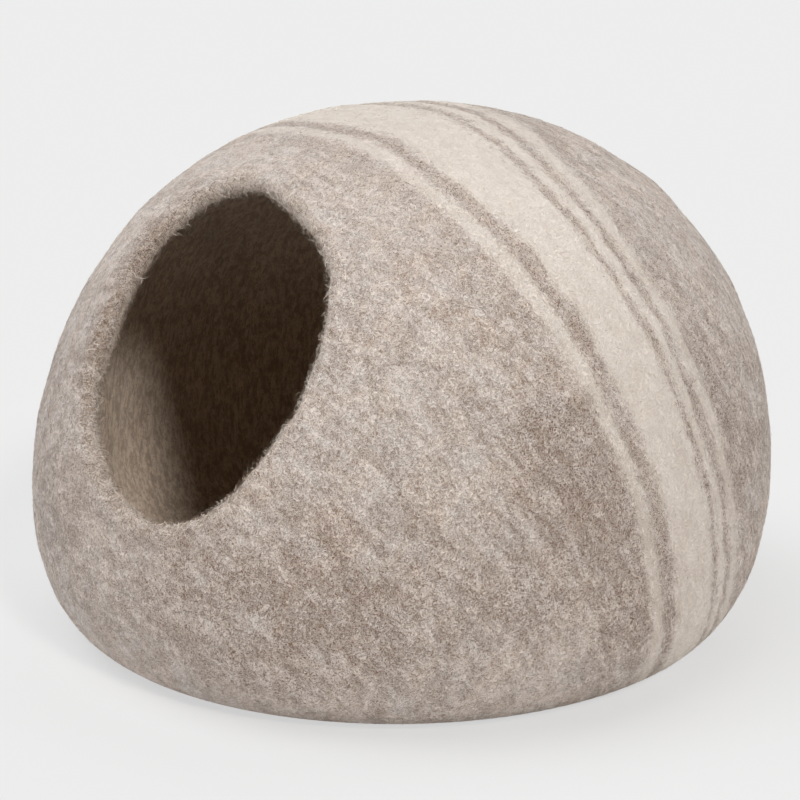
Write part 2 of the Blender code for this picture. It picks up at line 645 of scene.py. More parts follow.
@dataclass
class FeltWall:
    """The one-piece wall of the cave: outside, full-round rim and inside on a closed grid."""

    form: CaveForm
    bands: Bands
    spokes: int = 320
    outside_rows: int = 186
    rim_rows: int = 14
    inside_rows: int = 88
    rim_crowding: float = 1.35
    lumps_out: tuple[Lump, ...] = (
        Lump(wavelength=0.110, height=0.0006, waves=14, seed=3),
        Lump(wavelength=0.045, height=0.00026, waves=24, seed=5),
        Lump(wavelength=0.019, height=0.00009, waves=40, seed=8),
        Lump(wavelength=0.009, height=0.00007, waves=60, seed=13),
    )
    lumps_in: tuple[Lump, ...] = (
        Lump(wavelength=0.070, height=0.0008, waves=16, seed=21),
        Lump(wavelength=0.026, height=0.00028, waves=30, seed=22),
        Lump(wavelength=0.013, height=0.00015, waves=40, seed=23),
    )
    dents: tuple[Dent, ...] = (
        Dent(bearing_deg=7, height=0.085, radius=0.0075, depth=0.0016),
        Dent(bearing_deg=50, height=0.145, radius=0.0160, depth=0.0008),
        Dent(bearing_deg=-115, height=0.120, radius=0.0140, depth=0.0010),
    )
    wool_and_shade_patches: tuple[WoolAndShadePatch, ...] = (
        # Patches at bearings 55 to 95 darken the lower right side: partly darker wool, partly
        # painted shade where that side turns from the lamps.
        WoolAndShadePatch(bearing_deg=60, height=0.165, radius=0.025, share=0.70),
        WoolAndShadePatch(bearing_deg=65, height=0.130, radius=0.028, share=0.95),
        WoolAndShadePatch(bearing_deg=70, height=0.090, radius=0.028, share=0.85),
        WoolAndShadePatch(bearing_deg=55, height=0.080, radius=0.026, share=0.60),
        WoolAndShadePatch(bearing_deg=75, height=0.055, radius=0.022, share=0.55),
        WoolAndShadePatch(bearing_deg=20, height=0.060, radius=0.055, share=0.55),
        WoolAndShadePatch(bearing_deg=35, height=0.090, radius=0.050, share=0.45),
        WoolAndShadePatch(bearing_deg=5, height=0.090, radius=0.045, share=0.45),
        WoolAndShadePatch(bearing_deg=-25, height=0.095, radius=0.045, share=0.50),
        WoolAndShadePatch(bearing_deg=-35, height=0.155, radius=0.045, share=0.35),
        WoolAndShadePatch(bearing_deg=95, height=0.150, radius=0.070, share=0.50),
        WoolAndShadePatch(bearing_deg=80, height=0.060, radius=0.050, share=0.50),
        WoolAndShadePatch(bearing_deg=35, height=0.285, radius=0.060, share=-0.45),
        WoolAndShadePatch(bearing_deg=-45, height=0.295, radius=0.050, share=-0.40),
        WoolAndShadePatch(bearing_deg=-70, height=0.100, radius=0.045, share=0.50),
        WoolAndShadePatch(bearing_deg=-135, height=0.120, radius=0.050, share=0.60),
        WoolAndShadePatch(bearing_deg=-175, height=0.090, radius=0.045, share=0.50),
        WoolAndShadePatch(bearing_deg=150, height=0.110, radius=0.040, share=0.45),
    )
    lump_rim: Lump = Lump(wavelength=0.024, height=0.0004, waves=20, seed=31)
    # Browner wool and painted shade on the rim's top-left face, which turns down and away from the
    # light.
    rim_shade: RimShade = RimShade(turn_deg=165, spread_deg=50, reach=0.013, share=0.90)
    floor_fade: tuple[float, float] = (0.002, 0.035)
    flat_width: float = 0.70
    flat_length: float = 0.71
    outside_disc: Disc = Disc(middle=0.34, radius=0.335)
    inside_disc: Disc = Disc(middle=0.755, radius=0.24)
    wall: Wall = field(init=False)

    def relief_outside(self, points: Array) -> Array:
        """Return the height of the outside's relief, which fades out towards the floor.

        Args:
            points: Places on the outside.

        Returns:
            One height for each point, in metres.
        """
        height = self.bands.relief(self.bands.across(points))
        height += sum(lump.at(points) for lump in self.lumps_out)
        height -= sum(dent.depth * dent.bell(self.form, points) for dent in self.dents)
        return height * smooth_step(points[..., 2], *self.floor_fade)

    def relief_inside(self, points: Array) -> Array:
        """Return the height of the inside's relief, which fades out towards the floor."""
        height = sum(lump.at(points) for lump in self.lumps_in)
        return height * smooth_step(points[..., 2], *self.floor_fade)

    def dark_and_shade_share(self, points: Array) -> Array:
        """Return the share of darker wool and painted shade from the patches.

        What is left of the plain wool is multiplied by one less each patch's share.

        Args:
            points: Places on the outside.

        Returns:
            One share for each point, below 0 where the wool is paler.
        """
        light = np.ones(points.shape[:-1])
        for patch in self.wool_and_shade_patches:
            light *= 1 - patch.share * patch.bell(self.form, points)
        return 1 - light

    def lay_out(self) -> Wall:
        """Work out the wall's grid.

        Outside points are on the body, and inside points are a wall's thickness under it. The
        rim is a half circle of half that thickness, from the outside's normal round to its
        opposite by way of the tangent that points into the doorway.

        Returns:
            The grid, with its relief added along its directions.
        """
        form, half = self.form, self.form.wall / 2
        turns = np.arange(self.spokes) * TURN / self.spokes
        outside_shares = np.linspace(1, 0, self.outside_rows + 1)[1:] ** self.rim_crowding
        inside_shares = np.linspace(0, 1, self.inside_rows + 1)[:-1] ** self.rim_crowding
        outside = form.surface(*np.meshgrid(turns, outside_shares))
        inside = form.surface(*np.meshgrid(turns, inside_shares))
        out_normals, in_normals = form.normals(outside), form.normals(inside)

        edge, edge_normals = outside[-1], out_normals[-1]
        along = unit(np.roll(edge, -1, axis=0) - np.roll(edge, 1, axis=0))
        inwards = unit(np.cross(along, edge_normals))
        inwards *= np.sign(((edge.mean(axis=0) - edge) * inwards).sum(axis=-1))[:, None]
        arc = (np.arange(1, self.rim_rows) * math.pi / self.rim_rows)[:, None, None]
        round_out = np.cos(arc) * edge_normals + np.sin(arc) * inwards
        rounded = edge - half * edge_normals + half * round_out

        base = np.concatenate([outside, rounded, inside - 2 * half * in_normals])
        directions = np.concatenate([out_normals, round_out, -in_normals])
        arc_rows = arc[:, :, 0] * np.ones((1, self.spokes))
        inner_share = np.concatenate(
            [np.zeros(outside.shape[:2]), (1 - np.cos(arc_rows)) / 2, np.ones(inside.shape[:2])]
        )
        rim = np.zeros(inner_share.shape)
        first = self.outside_rows
        rim[first : first + self.rim_rows - 1] = np.sin(arc_rows)
        relief = self.relief_outside(base) * (1 - inner_share)
        relief += self.relief_inside(base) * inner_share
        relief[first : first + self.rim_rows - 1] += np.sin(arc_rows) * self.lump_rim.at(rounded)
        points = base + relief[..., None] * directions
        points[..., 2] = np.maximum(points[..., 2], 0.0)
        across = self.bands.across(base)
        # Darker wool and painted shade: the patches' share joined with the rim's.
        rim_dark_and_shade = self.rim_shade.at(turns, np.linalg.norm(base - edge, axis=-1))
        dark = 1 - (1 - self.dark_and_shade_share(base)) * (1 - rim_dark_and_shade)
        return Wall(points, directions, inner_share, rim, across, dark)

    def build(self) -> bpy.types.Object:
        """Make the wall's mesh and return its object.

        The faces are quads between neighbouring rows and columns, and a fan of triangles to a
        single vertex at each pole.

        Returns:
            The wall's object.
        """
        self.wall = wall = self.lay_out()
        rows, columns = wall.inside.shape
        poles = self.form.surface(np.zeros(2), np.ones(2))
        poles[1] -= self.form.wall * self.form.normals(poles[1])
        points = np.concatenate([poles, wall.points.reshape(-1, 3)])
        number = 2 + np.arange(rows * columns).reshape(rows, columns)
        after = np.roll(number, -1, axis=1)
        quads = np.stack([number[:-1], after[:-1], after[1:], number[1:]], axis=-1)
        near_fan = np.stack([np.zeros(columns, int), after[0], number[0]], axis=-1)
        far_fan = np.stack([np.ones(columns, int), number[-1], after[-1]], axis=-1)
        corners = np.concatenate([near_fan.ravel(), far_fan.ravel(), quads.ravel()])
        sides = np.concatenate([np.full(2 * columns, 3), np.full((rows - 1) * columns, 4)])
        mesh = fill_mesh("felt_wall", points, corners, sides)
        ends = np.array([0.0, 1.0])
        give_values(mesh, "inside", np.concatenate([ends, wall.inside.ravel()]))
        give_values(mesh, "rim", np.concatenate([0 * ends, wall.rim.ravel()]))
        pole_across = self.bands.across(poles)
        across = np.concatenate([pole_across, wall.across.ravel()]) / MM
        give_values(mesh, "across_mm", across)
        give_values(mesh, "dark_and_shade_share", np.concatenate([0 * ends, wall.dark.ravel()]))
        give_map(mesh, self.flat_map(rows, columns))
        piece = add_piece("felt_cave_wall", mesh)
        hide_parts(SHELL_NODE)
        return piece

    def flat_map(self, rows: int, columns: int) -> Array:
        """Return the map places of the faces' corners: a disc for each side of the wall.

        A disc's radius is the share of rows from its pole, and its angle is the turn. The two
        discs stand in opposite corners of the map and meet at the rim's row farthest in.

        Args:
            rows: How many rows the grid has.
            columns: How many columns it has.

        Returns:
            One place for each corner, in the order of the mesh's faces.
        """
        outer, inner = self.outside_disc, self.inside_disc
        seam = self.outside_rows + self.rim_rows // 2
        turns = np.arange(columns + 1) * TURN / columns
        around = np.stack([np.cos(turns), np.sin(turns)], axis=-1)
        row = np.arange(rows - 1)
        outside = row < seam

        def radius(row: Array) -> Array:
            """Return the radius of each row on its disc.

            Args:
                row: Numbers of the rows.

            Returns:
                A column of radii.
            """
            out_radius = outer.radius * (row + 1) / (seam + 1)
            in_radius = inner.radius * (rows - row) / (rows - seam)
            return np.where(outside, out_radius, in_radius)[:, None, None]

        middle = np.where(outside, outer.middle, inner.middle)[:, None, None]
        spin, spun = around[None, :-1], around[None, 1:]
        near, far = radius(row), radius(row + 1)
        quads = np.stack(
            [middle + near * spin, middle + near * spun, middle + far * spun, middle + far * spin],
            axis=2,
        )
        first = outer.middle + outer.radius / (seam + 1) * around
        last = inner.middle + inner.radius / (rows - seam) * around
        pole = np.ones((columns, 2))
        near_fan = np.stack([outer.middle * pole, first[1:], first[:-1]], axis=1)
        far_fan = np.stack([inner.middle * pole, last[:-1], last[1:]], axis=1)
        return np.concatenate([part.reshape(-1, 2) for part in (near_fan, far_fan, quads)])

    def dress(self, piece: bpy.types.Object, finish: FeltFinish) -> None:
        piece.data.materials.append(finish.material(self.bands))


# ---------------------------------------------------------------- loose wool


class Wool(Enum):
    """Colours of the wool, each with its place in the range from dark to pale."""

    PEAT = (0.02, (0.130, 0.085, 0.058))
    UMBER = (0.20, (0.265, 0.185, 0.130))
    FAWN = (0.42, (0.460, 0.355, 0.280))
    GREIGE = (0.60, (0.620, 0.520, 0.445))
    PALE = (0.80, (0.770, 0.690, 0.615))
    CREAM = (0.98, (0.860, 0.800, 0.725))

    @property
    def place(self) -> float:
        """Place in the range."""
        return self.value[0]

    @property
    def colour(self) -> Colour:
        """Colour in linear light."""
        return self.value[1]


class Zone(Enum):
    """Parts of the wall that loose wool grows on."""

    OUTSIDE = "outside"
    RIM = "rim"
    INSIDE = "inside"


@dataclass(frozen=True)
class Blend:
    """Shares of the wool's colours in one kind of felt."""

    peat: float
    umber: float
    fawn: float
    greige: float
    pale: float
    cream: float

    def draw(self, chances: Array) -> Array:
        """Return places in the wool's range, for chances between 0 and 1.

        Args:
            chances: Even random numbers between 0 and 1.

        Returns:
            One place in the wool's range for each chance.
        """
        shares = np.array([getattr(self, wool.name.lower()) for wool in Wool])
        pick = np.searchsorted(np.cumsum(shares / shares.sum())[:-1], chances)
        return np.array([wool.place for wool in Wool])[pick]


GROUND_BLEND = Blend(peat=0.06, umber=0.12, fawn=0.17, greige=0.22, pale=0.27, cream=0.16)
CREAM_BLEND = Blend(peat=0.00, umber=0.01, fawn=0.03, greige=0.08, pale=0.28, cream=0.60)
LINE_BLEND = Blend(peat=0.22, umber=0.32, fawn=0.24, greige=0.12, pale=0.07, cream=0.03)
INSIDE_BLEND = Blend(peat=0.00, umber=0.12, fawn=0.44, greige=0.30, pale=0.14, cream=0.00)


@dataclass
class LooseWool:
    """Many fibres as one piece: ribbons that follow the wall and lift off it.

    A fibre walks over the wall's grid from a random place, turning steadily. Its height over
    the wall is an arch plus a rise towards its loose end. Its ribbon is a row of quads, widest
    in the middle. A share of the fibres sets off along the bands.
    """

    name: str
    count: int
    seed: int
    zone: Zone
    length: tuple[float, float]
    thickness: tuple[float, float]
    arch: tuple[float, float]
    curl: float
    rise: tuple[float, float] = (0.0, 0.0)
    steps: int = 3
    rise_power: float = 1.6
    sunk: float = 0.00008
    tilt: float = 0.5
    taper: float = 0.75
    along_bands: float = 0.35
    comb_spread: float = 0.45
    wander: float = 0.25
    least_step: float = 0.0003
    band_stray: float = 0.0022
    tone_spread: float = 0.035
    tone_range: tuple[float, float] = (0.01, 0.99)
    base_clearance: float = 0.004
    floor_gap: float = 0.0002
    ribbon_seed_step: int = 1000
    map_half_width: float = 0.004
    map_margin: float = 0.02

    def start(self, wall: Wall, form: CaveForm, rng: np.random.Generator) -> tuple[Array, Array]:
        """Return random rows and columns in the zone, evenly spread over its area.

        Args:
            wall: The wall's grid.
            form: Form of the cave.
            rng: Source of random numbers.

        Returns:
            The rows and the columns, with fractions.
        """
        down = np.diff(wall.points, axis=0)
        over = np.roll(wall.points, -1, axis=1) - wall.points
        area = np.linalg.norm(np.cross(down, over[:-1]), axis=-1)
        inner, rim = wall.inside[:-1], wall.rim[:-1]
        chosen = {
            Zone.OUTSIDE: (inner < 0.5) & (wall.points[:-1, :, 2] > self.base_clearance),
            Zone.RIM: rim > 0,
            Zone.INSIDE: (inner > 0.5) & (wall.points[:-1, :, 2] > form.wall),
        }[self.zone]
        chances = np.where(chosen, area, 0).ravel()
        faces = rng.choice(area.size, self.count, p=chances / chances.sum())
        rows, columns = np.unravel_index(faces, area.shape)
        return rows + rng.random(self.count), columns + rng.random(self.count)

    def walk(self, wall: Wall, bands: Bands, form: CaveForm) -> tuple[Array, ...]:
        """Walk all the fibres over the wall at once.

        Args:
            wall: The wall's grid.
            bands: The bands, whose axis combed fibres go round.
            form: Form of the cave.

        Returns:
            Points and wall directions for each fibre and step, and how far across the bands each
            fibre starts, the share of dark wool and painted shade there and the fibre's thickness.
        """
        rng = np.random.default_rng(self.seed)
        rows, columns = self.start(wall, form, rng)
        row_step, column_step = self.grid_steps(wall)
        step = rng.uniform(*self.length, self.count) / self.steps
        bend = rng.normal(0, self.curl, self.count)
        heading = rng.uniform(0, TURN, self.count)
        axis = bands.axes[0]
        normal = wall.at(wall.directions, rows, columns)
        ring_way = np.cross(axis, normal)
        on_rows = wall.at(row_step, rows, columns)
        on_columns = wall.at(column_step, rows, columns)
        ring_heading = np.arctan2(
            (ring_way * unit(on_columns)).sum(-1), (ring_way * unit(on_rows)).sum(-1)
        )
        combed = rng.random(self.count) < self.along_bands
        combed_heading = ring_heading + rng.normal(0, self.comb_spread, self.count)
        heading = np.where(combed, combed_heading, heading)
        across, dark = wall.at(wall.across, rows, columns), wall.at(wall.dark, rows, columns)
        points, directions = [], []
        for _ in range(self.steps + 1):
            points.append(wall.at(wall.points, rows, columns))
            directions.append(wall.at(wall.directions, rows, columns))
            row_length = np.linalg.norm(wall.at(row_step, rows, columns), axis=-1)
            column_length = np.linalg.norm(wall.at(column_step, rows, columns), axis=-1)
            rows = rows + step * np.cos(heading) / row_length
            columns = columns + step * np.sin(heading) / np.maximum(column_length, self.least_step)
            heading = heading + bend * step + rng.normal(0, self.wander, self.count)
        thickness = rng.uniform(*self.thickness, self.count)
        return np.stack(points, 1), unit(np.stack(directions, 1)), across, dark, thickness

    @staticmethod
    def grid_steps(wall: Wall) -> tuple[Array, Array]:
        """Return the vectors from row to row and from column to column over the grid.

        Args:
            wall: The wall's grid.

        Returns:
            Both vectors at each point of the grid.
        """
        row_step = np.gradient(wall.points, axis=0)
        column_step = (np.roll(wall.points, -1, axis=1) - np.roll(wall.points, 1, axis=1)) / 2
        return row_step, column_step

    def tones(self, across: Array, dark: Array, bands: Bands, rng: np.random.Generator) -> Array:
        """Return each fibre's place in the wool's range, from the felt that it grows on.

        Args:
            across: How far across the bands each fibre starts.
            dark: Share of dark wool and painted shade there.
            bands: The bands.
            rng: Source of random numbers.

        Returns:
            One place in the wool's range for each fibre.
        """
        chances = rng.random(self.count)
        stray = across + rng.normal(0, self.band_stray, self.count)
        ground = GROUND_BLEND.draw(chances)
        cream = CREAM_BLEND.draw(chances)
        line = LINE_BLEND.draw(chances)
        # Fibres in the patches take darker wool, which also carries the painted shade of the lower
        # right side and the rim's top-left face.
        darkness = np.maximum(bands.dark(stray), dark)
        picked = np.where(rng.random(self.count) < darkness, line, ground)
        picked = np.where(rng.random(self.count) < bands.cream(stray), cream, picked)
        if self.zone is Zone.INSIDE:
            picked = INSIDE_BLEND.draw(chances)
        return np.clip(picked + rng.normal(0, self.tone_spread, self.count), *self.tone_range)

    def build(self, wall: Wall, bands: Bands, form: CaveForm) -> bpy.types.Object:
        """Make the fibres' mesh and return its object.

        A ribbon's edges lie half its thickness to each side of its line, along the cross
        product of its run and the wall's direction, tilted by a random angle.

        Args:
            wall: The wall's grid.
            bands: The bands.
            form: Form of the cave.

        Returns:
            The fibres' object.
        """
        line, directions, across, dark, thickness = self.walk(wall, bands, form)
        rng = np.random.default_rng(self.seed + self.ribbon_seed_step)
        t = np.linspace(0, 1, self.steps + 1)
        arch = rng.uniform(*self.arch, (self.count, 1)) * np.sqrt(np.sin(math.pi * t).clip(0))
        rise = rng.uniform(*self.rise, (self.count, 1)) * t**self.rise_power
        height = arch + rise - self.sunk
        line = line + height[..., None] * directions
        run = unit(np.gradient(line, axis=1))
        side = unit(np.cross(directions, run))
        up = np.cross(run, side)
        tilt = rng.normal(0, self.tilt, (self.count, 1)) * np.ones_like(t)
        side = side * np.cos(tilt)[..., None] + up * np.sin(tilt)[..., None]
        taper = 1 - self.taper * np.abs(2 * t - 1) ** 3
        half = (thickness[:, None] / 2 * taper)[..., None]
        edges = np.stack([line - side * half, line + side * half], axis=2)
        edges[..., 2] = np.maximum(edges[..., 2], self.floor_gap)
        points = edges.reshape(-1, 3)
        number = np.arange(len(points)).reshape(self.count, self.steps + 1, 2)
        first, second = number[:, :-1], number[:, 1:]
        quads = np.stack([first[..., 0], second[..., 0], second[..., 1], first[..., 1]], axis=-1)
        sides = np.full(self.count * self.steps, 4)
        mesh = fill_mesh(self.name, points, quads.ravel(), sides)
        tones = self.tones(across, dark, bands, rng)
        give_values(mesh, "tone", np.repeat(tones, 2 * (self.steps + 1)))
        give_map(mesh, self.tone_map(tones))
        return add_piece(self.name, mesh)

    def tone_map(self, tones: Array) -> Array:
        """Return map places: tone across the map, and the way along the fibre up it.

        Args:
            tones: Each fibre's place in the wool's range.

        Returns:
            One place for each corner, in the order of the mesh's faces.
        """
        low, high = tones[:, None] - self.map_half_width, tones[:, None] + self.map_half_width
        reach = 1 - 2 * self.map_margin
        step = np.arange(self.steps)[None] / self.steps
        near = self.map_margin + reach * step * np.ones_like(low)
        far = near + reach / self.steps
        left, right = low * np.ones_like(near), high * np.ones_like(near)
        pairs = [(left, near), (left, far), (right, far), (right, near)]
        return np.stack([np.stack(pair, axis=-1) for pair in pairs], axis=2).reshape(-1, 2)

    def dress(self, piece: bpy.types.Object, wool: bpy.types.Material) -> None:
        """Give the fibres the wool's material."""
        piece.data.materials.append(wool)


def loose_wool() -> list[LooseWool]:
    """Return every coat of loose wool, from the matted surface out to the strays.

    Returns:
        The coats in the order in which they are built.
    """
    matted = [
        LooseWool(
            name=f"matted_wool_{number}",
            count=31000,
            seed=40 + number,
            zone=Zone.OUTSIDE,
            length=(0.0016, 0.0055),
            thickness=(0.00010, 0.00022),
            arch=(0.00005, 0.00035),
            curl=420.0,
        )
        for number in (1, 2, 3)
    ]
    return matted + [
        LooseWool(
            name="outside_fuzz",
            count=14000,
            seed=51,
            zone=Zone.OUTSIDE,
            length=(0.0018, 0.0045),
            thickness=(0.00006, 0.00011),
            arch=(0.0, 0.0003),
            curl=400.0,
            rise=(0.0003, 0.0012),
        ),
        LooseWool(
            name="rim_matted_wool",
            count=5000,
            seed=61,
            zone=Zone.RIM,
            length=(0.002, 0.006),
            thickness=(0.00010, 0.00022),
            arch=(0.00008, 0.00045),
            curl=300.0,
            steps=4,
        ),
        LooseWool(
            name="rim_curls",
            count=5500,
            seed=62,
            zone=Zone.RIM,
            length=(0.0020, 0.0058),
            thickness=(0.00012, 0.00019),
            arch=(0.0, 0.0008),
            curl=550.0,
            rise=(0.0002, 0.0028),
            steps=5,
        ),
        LooseWool(
            name="rim_strays",
            count=900,
            seed=63,
            zone=Zone.RIM,
            length=(0.005, 0.011),
            thickness=(0.00015, 0.00024),
            arch=(0.0, 0.0010),
            curl=450.0,
            rise=(0.0010, 0.0046),
            steps=9,
        ),
        LooseWool(
            name="inside_matted_wool",
            count=7000,
            seed=71,
            zone=Zone.INSIDE,
            length=(0.002, 0.005),
            thickness=(0.00012, 0.00024),
            arch=(0.0001, 0.0004),
            curl=300.0,
            rise=(0.0, 0.0003),
        ),
    ]


# ---------------------------------------------------------------- node groups


class NodePad:
    """Short ways to add nodes to one tree and to join them."""

    MIX_FIRST, MIX_SECOND, MIX_RESULT = 6, 7, 2

    def __init__(self, tree: Tree) -> None:
        """Work on a tree."""
        self.tree = tree

    def add(self, kind: str, **settings: object) -> bpy.types.Node:
        """Return a new node with its settings.

        Args:
            kind: Kind of node.
            settings: Its settings by name.

        Returns:
            The node.
        """
        node = self.tree.nodes.new(kind)
        for name, value in settings.items():
            setattr(node, name, value)
        return node

    def feed(self, socket: Socket, value: Feed) -> None:
        """Link a socket to an output, or set it to a plain value.

        Args:
            socket: The socket to feed.
            value: An output of a node, or a plain value.
        """
        if isinstance(value, Socket):
            self.tree.links.new(value, socket)
        else:
            socket.default_value = value

    def feed_all(self, sockets: bpy.types.NodeInputs, values: dict[str, Feed]) -> None:
        """Feed sockets by name, underscores standing for spaces."""
        for name, value in values.items():
            self.feed(sockets[name.replace("_", " ")], value)

    def maths(self, operation: str, *values: Feed, clamp: bool = False) -> Socket:
        """Return the result of a Math node.

        Args:
            operation: Kind of sum.
            values: What it works on.
            clamp: Whether the result is kept between 0 and 1.

        Returns:
            The result.
        """
        node = self.add("ShaderNodeMath", operation=operation, use_clamp=clamp)
        for socket, value in zip(node.inputs, values):
            self.feed(socket, value)
        return node.outputs[0]

    def plus(self, first: Feed, second: Feed) -> Socket:
        """Return a sum."""
        return self.maths("ADD", first, second)

    def minus(self, first: Feed, second: Feed) -> Socket:
        """Return a difference."""
        return self.maths("SUBTRACT", first, second)

    def times(self, first: Feed, second: Feed) -> Socket:
        """Return a product."""
        return self.maths("MULTIPLY", first, second)

    def line(self, value: Feed, slope: Feed, offset: Feed) -> Socket:
        """Return a value times a slope, plus an offset."""
        return self.maths("MULTIPLY_ADD", value, slope, offset)

    def between(self, value: Feed, low: float, high: float) -> Socket:
        """Return the value moved smoothly from the range low to high into 0 to 1.

        Args:
            value: The value.
            low: What becomes 0.
            high: What becomes 1. It may be the lower one.

        Returns:
            The share.
        """
        node = self.add("ShaderNodeMapRange", interpolation_type="SMOOTHSTEP")
        for socket, item in zip(node.inputs, (value, low, high)):
            self.feed(socket, item)
        return node.outputs[0]

    def noise(self, vector: Feed, scale: Feed, detail: float, rough: float, bend: Feed) -> Socket:
        """Return fractal noise between 0 and 1.

        Args:
            vector: Place to read the noise at.
            scale: How many lumps there are to a metre.
            detail: How many finer octaves are added.
            rough: Strength of each octave as a share of the one before.
            bend: How far the noise is bent by itself.

        Returns:
            The noise's value.
        """
        node = self.add("ShaderNodeTexNoise")
        values = {"Vector": vector, "Scale": scale, "Detail": detail, "Roughness": rough}
        self.feed_all(node.inputs, {**values, "Distortion": bend})
        return node.outputs["Fac"]

    def moved(self, vector: Feed, by: tuple[float, float, float]) -> Socket:
        """Return a vector with a fixed one added.

        Args:
            vector: The vector.
            by: What is added.

        Returns:
            The sum.
        """
        node = self.add("ShaderNodeVectorMath", operation="ADD")
        self.feed(node.inputs[0], vector)
        node.inputs[1].default_value = by
        return node.outputs[0]

    def stretched(self, vector: Feed, **settings: object) -> Socket:
        """Return a vector through a Mapping node, whose inputs are given by name.

        Args:
            vector: The vector.
            settings: Kind of mapping as vector_type, and Rotation and Scale.

        Returns:
            The mapped vector.
        """
        node = self.add("ShaderNodeMapping", vector_type=settings.pop("vector_type", "POINT"))
        self.feed_all(node.inputs, {"Vector": vector, **settings})
        return node.outputs[0]

    def blend(self, share: Feed, first: Feed, second: Feed) -> Socket:
        """Return a mix of two colours.

        Args:
            share: Share of the second colour.
            first: Colour at a share of 0.
            second: Colour at a share of 1.

        Returns:
            The colour.
        """
        node = self.add("ShaderNodeMix", data_type="RGBA")
        self.feed(node.inputs[0], share)
        for place, colour in ((self.MIX_FIRST, first), (self.MIX_SECOND, second)):
            value = colour if isinstance(colour, Socket) else (*colour, 1.0)
            self.feed(node.inputs[place], value)
        return node.outputs[self.MIX_RESULT]

    def ramp(
        self, value: Feed, stops: list[tuple[float, Colour]], easing: str = "LINEAR"
    ) -> Socket:
        """Return a colour from a ramp with these stops and this easing between them.

        Args:
            value: Place on the ramp.
            stops: Places and colours, in order.
            easing: Kind of passage between the stops.

        Returns:
            The colour.
        """
        node = self.add("ShaderNodeValToRGB")
        node.color_ramp.interpolation = easing
        elements = node.color_ramp.elements
        while len(elements) < len(stops):
            elements.new(0.5)
        for element, (place, colour) in zip(elements, stops):
            element.position = place
            element.color = (*colour, 1.0)
        self.feed(node.inputs[0], value)
        return node.outputs["Color"]

    def attribute(self, name: str) -> Socket:
        """Return the value of a named attribute."""
        return self.add("ShaderNodeAttribute", attribute_name=name).outputs["Fac"]

    def use(self, group: Tree, **values: Feed) -> bpy.types.NodeOutputs:
        """Return a group node's outputs, with its inputs fed by name.

        Args:
            group: The group.
            values: What feeds each input.

        Returns:
            The group node's outputs.
        """
        node = self.add("ShaderNodeGroup", node_tree=group)
        self.feed_all(node.inputs, values)
        return node.outputs

    def shade(self, **values: Feed) -> None:
        """Feed the material's Principled shader by the names of its sockets."""
        self.feed_all(self.tree.nodes["Principled BSDF"].inputs, values)


class GroupPad(NodePad):
    """A new shader node group, with its inputs and outputs by name."""

    def __init__(self, name: str, inputs: dict[str, str], outputs: dict[str, str]) -> None:
        """Make the group.

        Args:
            name: Name of the group.
            inputs: Names of the inputs, each with Float, Vector or Color.
            outputs: Names of the outputs, likewise.
        """
        tree = bpy.data.node_groups.new(name, "ShaderNodeTree")
        super().__init__(tree)
        for way, sockets in (("INPUT", inputs), ("OUTPUT", outputs)):
            for label, kind in sockets.items():
                tree.interface.new_socket(label, in_out=way, socket_type=f"NodeSocket{kind}")
        self.given = self.add("NodeGroupInput").outputs
        self.result = self.add("NodeGroupOutput").inputs

    def put_out(self, **values: Feed) -> Tree:
        """Feed the outputs by name and return the finished group."""
        self.feed_all(self.result, values)
        return self.tree


def blank_material(name: str) -> tuple[bpy.types.Material, NodePad]:
    """Return a new material and a pad to work on its nodes.

    Args:
        name: Name of the material.

    Returns:
        The material and the pad.
    """
    material = bpy.data.materials.new(name)
    material.use_nodes = True
    return material, NodePad(material.node_tree)


